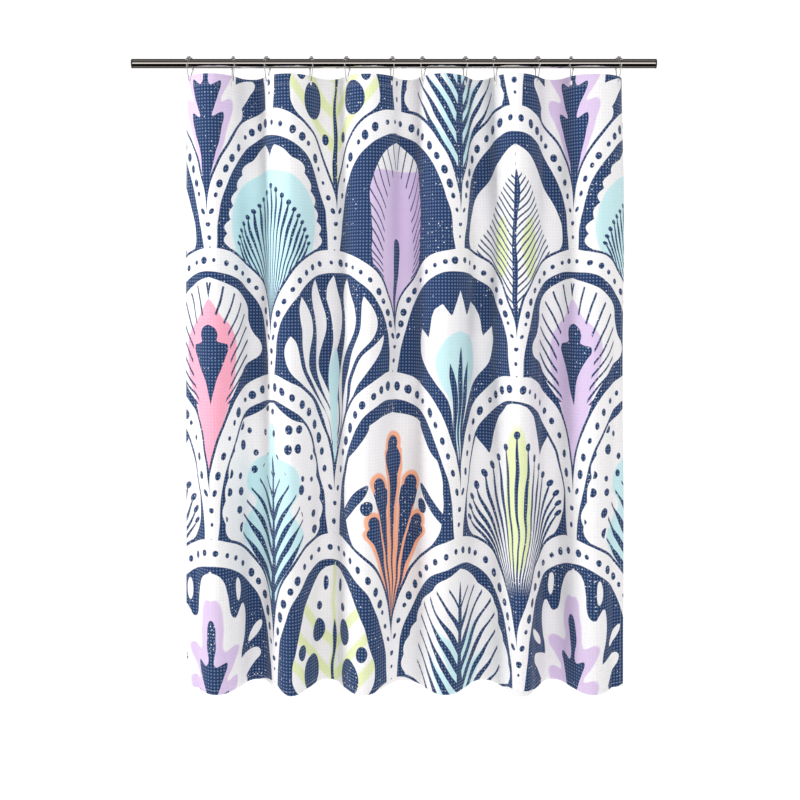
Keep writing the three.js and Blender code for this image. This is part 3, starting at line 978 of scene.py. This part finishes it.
def spindle(points, faces, middle_point, along, out):
    """Adds one stitch: a four-sided bead of thread, pointed at both ends."""
    side = along.cross(out)
    first = len(points)
    points.append(middle_point - along * STITCH / 2 - out * THREAD_RADIUS * 0.8)
    for share, radius in ((-0.3, 0.85), (0.3, 0.85)):
        centre = middle_point + along * STITCH * share
        for quarter in range(4):
            angle = quarter * math.pi / 2
            offset = side * math.cos(angle) + out * math.sin(angle)
            points.append(centre + offset * THREAD_RADIUS * radius * 1.2)
    points.append(middle_point + along * STITCH / 2 - out * THREAD_RADIUS * 0.8)
    last = len(points) - 1
    for quarter in range(4):
        a = first + 1 + quarter
        b = first + 1 + (quarter + 1) % 4
        faces.append((first, b, a))
        faces.append((a, b, b + 4, a + 4))
        faces.append((last, a + 4, b + 4))


def seam(points, faces, start, end):
    """Stitches from start to end on the flat cloth, on its front and on the back of the turned edge."""
    length = math.hypot(end[0] - start[0], end[1] - start[1])
    count = int(length / STITCH_PITCH)
    for i in range(count):
        share = (i + 0.5) / count
        across = start[0] + (end[0] - start[0]) * share
        down = start[1] + (end[1] - start[1]) * share
        point, right, below, out = sheet_frame(across, down)
        along = right if start[1] == end[1] else below
        spindle(points, faces, point + out * (CLOTH_HALF + 0.1 * MM), along, out)
        spindle(points, faces, point - out * (LAYER + CLOTH_HALF + 0.1 * MM), along, -out)


SEAM_IN = 1.8 * MM
SEAM_START = 3 * MM
LEFT, RIGHT = SIDE_HEM - SEAM_IN, WIDTH - SIDE_HEM + SEAM_IN
UPPER, LOWER = HEADER - SEAM_IN, DROP - HEM + SEAM_IN
SEAMS = {
    "header_stitches": ((SEAM_START, UPPER), (WIDTH - SEAM_START, UPPER)),
    "hem_stitches": ((SEAM_START, LOWER), (WIDTH - SEAM_START, LOWER)),
    "side_stitches_left": ((LEFT, HEADER), (LEFT, DROP - HEM)),
    "side_stitches_right": ((RIGHT, HEADER), (RIGHT, DROP - HEM)),
}
seams = []
for name, (start, end) in SEAMS.items():
    points, faces = [], []
    seam(points, faces, start, end)
    seams.append(mesh_piece(name, points, faces))
    print(name, len(faces), "faces")


# %% [markdown]
# ## Bound buttonholes
# Each slot is bound with close satin stitches. The binding is a tube led round the slot; its thickness
# rises and falls with every turn of the thread, which is what satin stitch looks like from near by.

# %% Make one binding for each slot
BINDING_TURNS = 46
BINDING_SIDES = 8
BINDING_HALF = (0.9 * MM, 1.25 * MM)
SATIN_SWELL = 0.13


def slot_path(share):
    """A place on the line round a slot, and the way out from the slot there."""
    half = SLOT_HALF
    straight = 2 * (SLOT_REACH - half)
    round_end = math.pi * half
    length = 2 * straight + 2 * round_end
    at = share * length
    if at < straight:
        return Vector((half, at - straight / 2)), Vector((1, 0))
    at -= straight
    if at < round_end:
        angle = at / half
        out = Vector((math.cos(angle), math.sin(angle)))
        return Vector((0, straight / 2)) + out * half, out
    at -= round_end
    if at < straight:
        return Vector((-half, straight / 2 - at)), Vector((-1, 0))
    angle = math.pi + (at - straight) / half
    out = Vector((math.cos(angle), math.sin(angle)))
    return Vector((0, -straight / 2)) + out * half, out


def binding(place):
    point, right, below, out = sheet_frame(place, slot_down)
    centre = point - out * LAYER / 2
    points, faces = [], []
    steps = BINDING_TURNS * 4
    for i in range(steps):
        spot, way = slot_path(i / steps)
        bulge = 1.0 + SATIN_SWELL * math.cos(2 * math.pi * BINDING_TURNS * i / steps)
        for side in range(BINDING_SIDES):
            angle = 2 * math.pi * side / BINDING_SIDES
            spread = BINDING_HALF[0] * math.cos(angle) * bulge
            lift = BINDING_HALF[1] * math.sin(angle) * bulge
            flat = spot + way * (0.5 * MM + spread)
            points.append(centre + right * flat.x - below * flat.y + out * lift)
    for i in range(steps):
        ahead = (i + 1) % steps
        for side in range(BINDING_SIDES):
            beside = (side + 1) % BINDING_SIDES
            quad = (i, side), (ahead, side), (ahead, beside), (i, beside)
            faces.append([a * BINDING_SIDES + b for a, b in quad])
    return mesh_piece("binding", points, faces)


bindings = [binding(place) for place in slot_across]
print("bindings:", len(bindings), "each of", len(bindings[0].data.polygons), "faces")

# %% [markdown]
# ## Rings
# Each ring is one wire, bent in a plane: an arch over the rod, a straight front leg, a round foot through
# the cloth, and a back leg with a kink that hooks it shut. A curve with a round bevel gives the wire; it is
# turned into a mesh and copied for every ring, yawed one way and the other as the cloth pulls it.

# %% The wire's line, in metres from the rod's axis
WIRE_RADIUS = 1.2 * MM
BEAD_RADIUS = 4.0 * MM
BEAD_ANGLES = (-56, -28, 0, 28, 56)
RING_YAW = math.radians(20)
reach = ROD_RADIUS + BEAD_RADIUS + 0.3 * MM
ARCH_RADIUS = reach / math.cos(RING_YAW) + 0.5 * MM
ARCH_CENTRE = reach - ARCH_RADIUS
FOOT_RADIUS = 6.5 * MM
FOOT_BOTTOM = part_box("ring_wire_01")[0][2] + WIRE_RADIUS
FOOT_CENTRE = FOOT_BOTTOM + FOOT_RADIUS
LEG_LEAN = math.atan2(ARCH_RADIUS - FOOT_RADIUS, ARCH_CENTRE - FOOT_CENTRE)
LATCH_OFFSET = 2.9 * MM


def arch_point(degrees):
    angle = math.radians(degrees)
    return Vector((0, ARCH_RADIUS * math.sin(angle), ARCH_CENTRE + ARCH_RADIUS * math.cos(angle)))


def foot_point(angle):
    return Vector((0, -FOOT_RADIUS * math.cos(angle), FOOT_CENTRE - FOOT_RADIUS * math.sin(angle)))


def wire_line():
    arch_end = arch_point(110)
    tail = Vector((0, arch_end.y - 3 * MM, arch_end.z - 7 * MM))
    foot_end = foot_point(math.pi - LEG_LEAN)
    rise = tail.z - foot_end.z

    def up(height, out, aside):
        return Vector((aside, foot_end.y + height * math.tan(LEG_LEAN) + out, foot_end.z + height))

    line = [tail]
    line += [arch_point(degrees) for degrees in range(110, -91, -5)]
    turn = math.pi - 2 * LEG_LEAN
    line += [foot_point(LEG_LEAN + turn * i / 12) for i in range(13)]
    line += [up(0.5 * rise, 0, 0), up(rise - 5 * MM, 0, 0.4 * LATCH_OFFSET)]
    line += [up(rise - 1 * MM, 1.6 * MM, LATCH_OFFSET), up(rise + 3 * MM, -0.6 * MM, LATCH_OFFSET)]
    line += [up(rise + 7 * MM, 0.8 * MM, LATCH_OFFSET)]
    return line


def make_wire():
    curve = bpy.data.curves.new("wire", "CURVE")
    curve.dimensions = "3D"
    curve.bevel_depth = WIRE_RADIUS
    curve.bevel_resolution = 3
    curve.use_fill_caps = True
    curve.resolution_u = 5
    spline = curve.splines.new("BEZIER")
    line = wire_line()
    spline.bezier_points.add(len(line) - 1)
    for point, place in zip(spline.bezier_points, line):
        point.co = place
        point.handle_left_type = "AUTO"
        point.handle_right_type = "AUTO"
    activate(add_to_scene("wire", curve))
    bpy.ops.object.convert(target="MESH")
    piece = bpy.context.object
    bpy.ops.object.mode_set(mode="EDIT")
    bpy.ops.mesh.select_all(action="SELECT")
    bpy.ops.mesh.remove_doubles(threshold=1e-6)
    stop_editing()
    smooth(piece, 50)
    return piece


wire = make_wire()
print("wire faces:", len(wire.data.polygons))

# %% [markdown]
# ## Beads
# A bead is a little steel ball with a hole for the wire. A ball is cut flat across both ends and the two
# openings are bridged through the middle, which leaves the bore and two crisp rims.

# %% Make a bead and thread five on each wire
BORE = WIRE_RADIUS + 0.25 * MM


def make_bead():
    clear_selection()
    bpy.ops.mesh.primitive_uv_sphere_add(segments=20, ring_count=14, radius=BEAD_RADIUS)
    bead = bpy.context.object
    cut = math.sqrt(BEAD_RADIUS**2 - BORE**2)
    bpy.ops.object.mode_set(mode="EDIT")
    for height, lower in ((cut, False), (-cut, True)):
        bpy.ops.mesh.select_all(action="SELECT")
        where = dict(plane_co=(0, 0, height), plane_no=(0, 0, 1))
        bpy.ops.mesh.bisect(**where, clear_outer=not lower, clear_inner=lower)
    bpy.ops.mesh.select_all(action="SELECT")
    bpy.ops.mesh.region_to_loop()
    bpy.ops.mesh.bridge_edge_loops()
    stop_editing()
    smooth(bead, 40)
    return bead


def copy_of(piece, name):
    return add_to_scene(name, piece.data.copy())


bead = make_bead()
print("bead faces:", len(bead.data.polygons))
rings = []
for number, x in zip(RING_NUMBERS, RING_X):
    yaw = -RING_YAW if int(number) % 2 else RING_YAW
    ring_wire = copy_of(wire, "ring_wire_smooth_" + number)
    ring_wire.rotation_euler = (0, 0, yaw)
    ring_wire.location = (x, 0, 0)
    settle(ring_wire)
    beads = []
    for place, degrees in enumerate(BEAD_ANGLES):
        one = copy_of(bead, f"ring_bead_{number}_{place + 1}")
        centre = arch_point(degrees)
        one.rotation_euler = (math.radians(90 - degrees), 0, 0)
        one.location = centre
        settle(one)
        one.rotation_euler = (0, 0, yaw)
        one.location = (x, 0, 0)
        settle(one)
        beads.append(one)
    rings.append((number, ring_wire, beads))
for spare in (wire, bead):
    bpy.data.objects.remove(spare)
print("rings:", len(rings))

# %% [markdown]
# ## Rod and end caps
# The rod is a drawn tube. A cylinder gives the outside, its ends are opened and the rim is rounded over,
# and Solidify gives it a wall. A cap is a short lip with a rounded edge and a slight dish in its face.

# %% Make the rod
ROD_SIDES = 96
ROD_WALL = 1.2 * MM
CAP_SIDES = 64
CAP_LIP = 4.0 * MM
CAP_PLUG = 17 * MM


def round_bar(length, radius, sides):
    """A cylinder along X with its place at the middle of its length."""
    clear_selection()
    bpy.ops.mesh.primitive_cylinder_add(
        vertices=sides, radius=radius, depth=length, rotation=(0, math.pi / 2, 0)
    )
    return settle(bpy.context.object)


def make_rod():
    rod = round_bar(ROD_HIGH[0] - ROD_LOW[0], ROD_RADIUS, ROD_SIDES)
    edit_faces(rod, lambda face: abs(face.normal.x) > 0.9)
    bpy.ops.mesh.delete(type="FACE")
    bpy.ops.object.mode_set(mode="OBJECT")
    wall = rod.modifiers.new("wall", "SOLIDIFY")
    wall.thickness = ROD_WALL
    wall.offset = -1
    bpy.ops.object.modifier_apply(modifier="wall")
    round_edges(rod, 0.4 * MM, 60)
    smooth(rod, 35)
    return rod


rod = make_rod()
print("rod faces:", len(rod.data.polygons))

# %% Make the two end caps
def make_cap(node, outward):
    low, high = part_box(node)
    face_x = high[0] if outward > 0 else low[0]
    cap = round_bar(CAP_LIP, ROD_RADIUS, CAP_SIDES)
    edit_faces(cap, lambda face: face.normal.x * outward > 0.9)
    bpy.ops.mesh.inset(thickness=3.2 * MM, depth=0)
    bpy.ops.mesh.inset(thickness=0.6 * MM, depth=-0.5 * MM)
    edit_faces(cap, lambda face: face.normal.x * outward < -0.9)
    bpy.ops.mesh.inset(thickness=1.6 * MM, depth=0)
    bpy.ops.mesh.extrude_region_move(TRANSFORM_OT_translate={"value": (-outward * CAP_PLUG, 0, 0)})
    stop_editing()
    cap.location.x = face_x - outward * CAP_LIP / 2
    settle(cap)
    round_edges(cap, 0.5 * MM, 30)
    smooth(cap, 35)
    return cap


caps = {"left": make_cap("rod_end_cap_left", -1), "right": make_cap("rod_end_cap_right", 1)}
print("caps:", [len(cap.data.polygons) for cap in caps.values()])

# %% [markdown]
# ## Waffle weave
# The cloth is woven in small squares with raised edges. Their height is a formula of the place on the flat
# cloth, so the squares follow every fold. The same height bends the light and thins the ink in the pits;
# on the pale and tinted cloth the pits are greyed, which is painted shade.

# %% Weave group
WAFFLE_PITCH = 9.8 * MM


def waffle_group():
    tree, enter, leave = new_group("Waffle weave", {"Height": "Float", "Pit": "Float"})
    parts = tree.nodes.new("ShaderNodeSeparateXYZ")
    feed(tree, enter.outputs["Place"], parts.inputs[0])
    walls = []
    for axis in ("X", "Y"):
        share = (Ink(tree, parts.outputs[axis]) / WAFFLE_PITCH).math("FRACT")
        walls.append(share.times(2.0, -1.0).size())
    wall = walls[0].either(walls[1])
    yarn = texture(tree, "Noise", enter.outputs["Place"], Scale=900.0, Detail=1.0)
    feed(tree, wall.math("POWER", 2.2) + Ink(tree, yarn.outputs["Fac"]) * 0.35, leave.inputs["Height"])
    pit = walls[0].hypot(walls[1]).times(-2.4, 1.75)
    feed(tree, pit.both(1.0).either(0.0), leave.inputs["Pit"])
    return tree


# %% Cloth materials
def new_material(name, **values):
    """A material with the named inputs of its shader set; _ in a name stands for a space."""
    material = bpy.data.materials.new(name)
    material.use_nodes = True
    tree = material.node_tree
    shader = tree.nodes["Principled BSDF"]
    for label, value in values.items():
        shader.inputs[label.replace("_", " ")].default_value = value
    return material, tree, shader


def add_bump(tree, shader, height, strength, distance):
    bump = tree.nodes.new("ShaderNodeBump")
    feed(tree, strength, bump.inputs["Strength"])
    feed(tree, distance, bump.inputs["Distance"])
    feed(tree, height, bump.inputs["Height"])
    feed(tree, bump.outputs["Normal"], shader.inputs["Normal"])


def use_group(tree, group, place):
    node = tree.nodes.new("ShaderNodeGroup")
    node.node_tree = group
    tree.links.new(place, node.inputs["Place"])
    return node


def cloth_material(name, printed, waffle, show):
    """Printed cloth; show is how much of the print is seen on this side."""
    material, tree, shader = new_material(
        name, Roughness=0.86, Specular_IOR_Level=0.3, Sheen_Weight=0.18, Sheen_Roughness=0.45
    )
    uv = tree.nodes.new("ShaderNodeUVMap")
    uv.uv_map = "Cloth"
    drawing = use_group(tree, printed, uv.outputs["UV"])
    weave = use_group(tree, waffle, uv.outputs["UV"])
    colour = mixed(tree, show, WHITE, drawing.outputs["Color"])
    in_pit = Ink(tree, weave.outputs["Pit"])
    dark = Ink(tree, drawing.outputs["Dark"])
    colour = mixed(tree, in_pit * dark * (0.5 * show), colour, PIT_BLUE)
    # painted shade: the pits of the pale and tinted cloth are greyed, as if the hollows of the weave lay in
    # shadow
    colour = mixed(tree, in_pit * (1.0 - dark) * 0.24, colour, PIT_SHADE_GREY)
    feed(tree, colour, shader.inputs["Base Color"])
    add_bump(tree, shader, weave.outputs["Height"], 0.8, 0.9 * MM)
    return material


PIT_BLUE = from_hex("86A2CE")
# painted shade colour for the pits of the pale cloth
PIT_SHADE_GREY = from_hex("D9D6E0")
PRINTED = print_group()
WAFFLE = waffle_group()
cloth_front = cloth_material("printed waffle cloth", PRINTED, WAFFLE, 1)
cloth_back = cloth_material("back of the cloth", PRINTED, WAFFLE, 0.3)
print("print nodes:", len(PRINTED.nodes))

# %% [markdown]
# ## Thread and metal
# Thread is matt white with a fine twist. The rod is nickel drawn through a die, so it has faint lines along
# its length; the rings are chromed wire and steel beads, smoother and brighter. The caps are dark plastic.

# %% Thread, nickel, chrome and plastic
def simple_material(name, colour, roughness, metallic, grain_scale, grain_stretch, grain_depth):
    """A finish with its own fine grain, read from the piece's own coordinates."""
    material, tree, shader = new_material(name, Metallic=metallic)
    place = tree.nodes.new("ShaderNodeTexCoord")
    stretch = tree.nodes.new("ShaderNodeMapping")
    feed(tree, grain_stretch, stretch.inputs["Scale"])
    feed(tree, place.outputs["Object"], stretch.inputs["Vector"])
    grain = texture(tree, "Noise", stretch.outputs["Vector"], "3D", Scale=grain_scale, Detail=3.0)
    share = Ink(tree, grain.outputs["Fac"])
    darker = (*[c * 0.86 for c in colour[:3]], 1.0)
    feed(tree, mixed(tree, share, darker, colour), shader.inputs["Base Color"])
    feed(tree, share.times(roughness * 0.5, roughness * 0.75), shader.inputs["Roughness"])
    add_bump(tree, shader, grain.outputs["Fac"], 0.35, grain_depth)
    return material


NICKEL = (0.70, 0.67, 0.64, 1.0)
CHROME = (0.80, 0.80, 0.80, 1.0)
THREAD_WHITE = from_hex("EDEBEE")
thread_white = simple_material("white sewing thread", THREAD_WHITE, 0.8, 0.0, 900.0, (1, 1, 1), 0.1 * MM)
rod_nickel = simple_material("drawn nickel", NICKEL, 0.09, 1.0, 260.0, (0.01, 1, 1), 0.02 * MM)
ring_chrome = simple_material("chromed wire", CHROME, 0.14, 1.0, 300.0, (1, 1, 0.1), 0.01 * MM)
bead_chrome = simple_material("steel bead", CHROME, 0.1, 1.0, 500.0, (1, 1, 1), 0.006 * MM)
CAP_DARK = (0.02, 0.02, 0.023, 1.0)
cap_plastic = simple_material("dark cap plastic", CAP_DARK, 0.45, 0.0, 1400.0, (1, 1, 1), 0.05 * MM)

# %% [markdown]
# ## Finish the pieces
# The sheet gets its thickness last, with the printed side out and the pale side behind. Everything is then
# tied to the body that carries it. Cloth and stitches cannot slide like the rings do; the share of its width
# that the cloth keeps when drawn back is worked out from the draw joint and printed.

# %% Thicken the cloth and dress every piece
CLOTH_SIDES = [cloth_front, cloth_back]
for material in CLOTH_SIDES:
    curtain.data.materials.append(material)
activate(curtain)
thick = curtain.modifiers.new("thickness", "SOLIDIFY")
thick.thickness = 2 * CLOTH_HALF
thick.offset = 0
thick.material_offset = 1
thick.material_offset_rim = 1
bpy.ops.object.modifier_apply(modifier="thickness")
smooth(curtain)
CLOTH_NODES = ["curtain_panel", "header_band", "bottom_hem", "side_hem_left", "side_hem_right"]
sides = [face.material_index for face in curtain.data.polygons]
finish_piece(curtain, "printed_curtain", "curtain", CLOTH_SIDES, CLOTH_NODES)
curtain.data.polygons.foreach_set("material_index", sides)
print("faces on the printed side:", sides.count(0), "and on the pale side:", sides.count(1))

joints = frame["record"]["behaviour"]["joints"]
draw = next(joint for joint in joints if joint["name"] == "draw")
FIXED_X = draw["deforming_nodes"][0]["fixed_end_x_m"]
DRAW_TRAVEL = max(abs(limit) for limit in draw["range_m"])
KEEP = 1 - DRAW_TRAVEL / (RING_X[-1] - FIXED_X)
for piece in seams:
    finish_piece(piece, piece.name, "curtain", [thread_white])
for piece in [curtain, *seams]:
    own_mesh(piece)
for number, ring_wire, beads in rings:
    body = "ring_" + number
    finish_piece(ring_wire, ring_wire.name, body, [ring_chrome], ["ring_wire_" + number])
    for one in beads:
        finish_piece(one, one.name, body, [bead_chrome])
    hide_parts("ring_rollers_" + number)
for number, piece in zip(RING_NUMBERS, bindings):
    smooth(piece)
    node = "buttonhole_" + number
    name = "buttonhole_stitching_" + number
    finish_piece(piece, name, "ring_" + number, [thread_white], [node])
finish_piece(rod, "rod_smooth", "rod", [rod_nickel], ["rod_tube"])
for side, piece in caps.items():
    finish_piece(piece, "end_cap_" + side, "rod", [cap_plastic], ["rod_end_cap_" + side])
print("cloth keeps", round(KEEP, 3), "of its width when drawn back")

# %% [markdown]
# ## Floor, light and camera
# A pale floor and a white surround keep attention on the print. The light is large and soft: one broad
# light in front, one from the left for the folds, and a bright surround. Metal only shows what it mirrors,
# so the surround has darker and lighter bands that mirror in the rod but stay white to the eye.

# %% Stage
FLOOR_DROP = 0.14


def make_floor():
    clear_selection()
    bpy.ops.mesh.primitive_plane_add(size=40, location=(0, 0, CLOTH_TOP - DROP - FLOOR_DROP))
    floor = settle(bpy.context.object)
    floor.name = "pale_floor"
    floor.visible_glossy = False
    grey, white = (0.25, 0.25, 0.25, 1.0), (1.0, 1.0, 1.0, 1.0)
    glow = {"Emission_Color": white, "Emission_Strength": 0.96}
    material = new_material("pale floor", Base_Color=grey, Roughness=1.0, Specular_IOR_Level=0.0, **glow)[0]
    floor.data.materials.append(material)


def make_surround():
    world = bpy.data.worlds.new("white surround")
    bpy.context.scene.world = world
    world.use_nodes = True
    tree = world.node_tree
    base = tree.nodes["Background"]
    base.inputs["Color"].default_value = (1.0, 1.0, 1.0, 1.0)
    place = tree.nodes.new("ShaderNodeTexCoord")
    parts = tree.nodes.new("ShaderNodeSeparateXYZ")
    bands = tree.nodes.new("ShaderNodeValToRGB")
    elements = bands.color_ramp.elements
    shades = [(0.0, 0.32), (0.05, 0.25), (0.12, 0.03), (0.24, 0.03), (0.32, 0.6), (0.37, 1.0), (0.43, 1.6)]
    shades += [(0.58, 1.6), (0.64, 0.05), (0.78, 0.03), (0.90, 0.20), (0.95, 0.22), (1.0, 0.12)]
    for number, (position, shade) in enumerate(shades):
        element = elements[number] if number < 2 else elements.new(position)
        element.position = position
        element.color = (shade, shade * 0.96, shade * 0.92, 1.0)
    feed(tree, place.outputs["Generated"], parts.inputs[0])
    feed(tree, Ink(tree, parts.outputs["Z"]).times(0.5, 0.5), bands.inputs[0])
    mirrored = tree.nodes.new("ShaderNodeBackground")
    feed(tree, bands.outputs["Color"], mirrored.inputs["Color"])
    behind = Ink(tree, parts.outputs["Y"]) * Ink(tree, parts.outputs["Z"])
    feed(tree, 1.0 - behind.math("MULTIPLY", 4.0, clamp=True), mirrored.inputs["Strength"])
    rays = tree.nodes.new("ShaderNodeLightPath")
    choose = tree.nodes.new("ShaderNodeMixShader")
    feeds = (rays.outputs["Is Glossy Ray"], base.outputs[0], mirrored.outputs[0])
    for value, socket in zip(feeds, choose.inputs):
        feed(tree, value, socket)
    feed(tree, choose.outputs[0], tree.nodes["World Output"].inputs["Surface"])
    feed(tree, Ink(tree, rays.outputs["Is Camera Ray"]).times(0.62, 0.43), base.inputs["Strength"])


def soft_light(name, power, size, place, aim):
    data = bpy.data.lights.new(name, "AREA")
    data.energy = power
    data.size = size
    light = add_to_scene(name, data)
    light.location = place
    light.rotation_euler = (Vector(aim) - Vector(place)).to_track_quat("-Z", "Y").to_euler()
    light.visible_glossy = False


def make_camera():
    distance = 3.6
    field = 2.392
    data = bpy.data.cameras.new("camera")
    data.sensor_width = 36
    data.lens = data.sensor_width * distance / field
    camera = add_to_scene("camera", data)
    camera.location = (0.018, -distance, -0.775)
    camera.rotation_euler = (math.pi / 2, 0, 0)
    data.shift_y = (-1.0055 - camera.location.z) / field
    bpy.context.scene.camera = camera


make_floor()
make_surround()
middle_height = CLOTH_TOP - DROP / 2
soft_light("front light", 43.5, 2.4, (0.9, -3.4, 0.3), (0, 0, middle_height))
soft_light("left light", 58, 0.7, (-3.2, -1.0, -0.1), (0, 0, middle_height))
soft_light("back light", 26, 2.0, (-0.8, 3.6, 0.2), (0, 0, middle_height))
make_camera()
bpy.context.scene.view_settings.view_transform = "Standard"
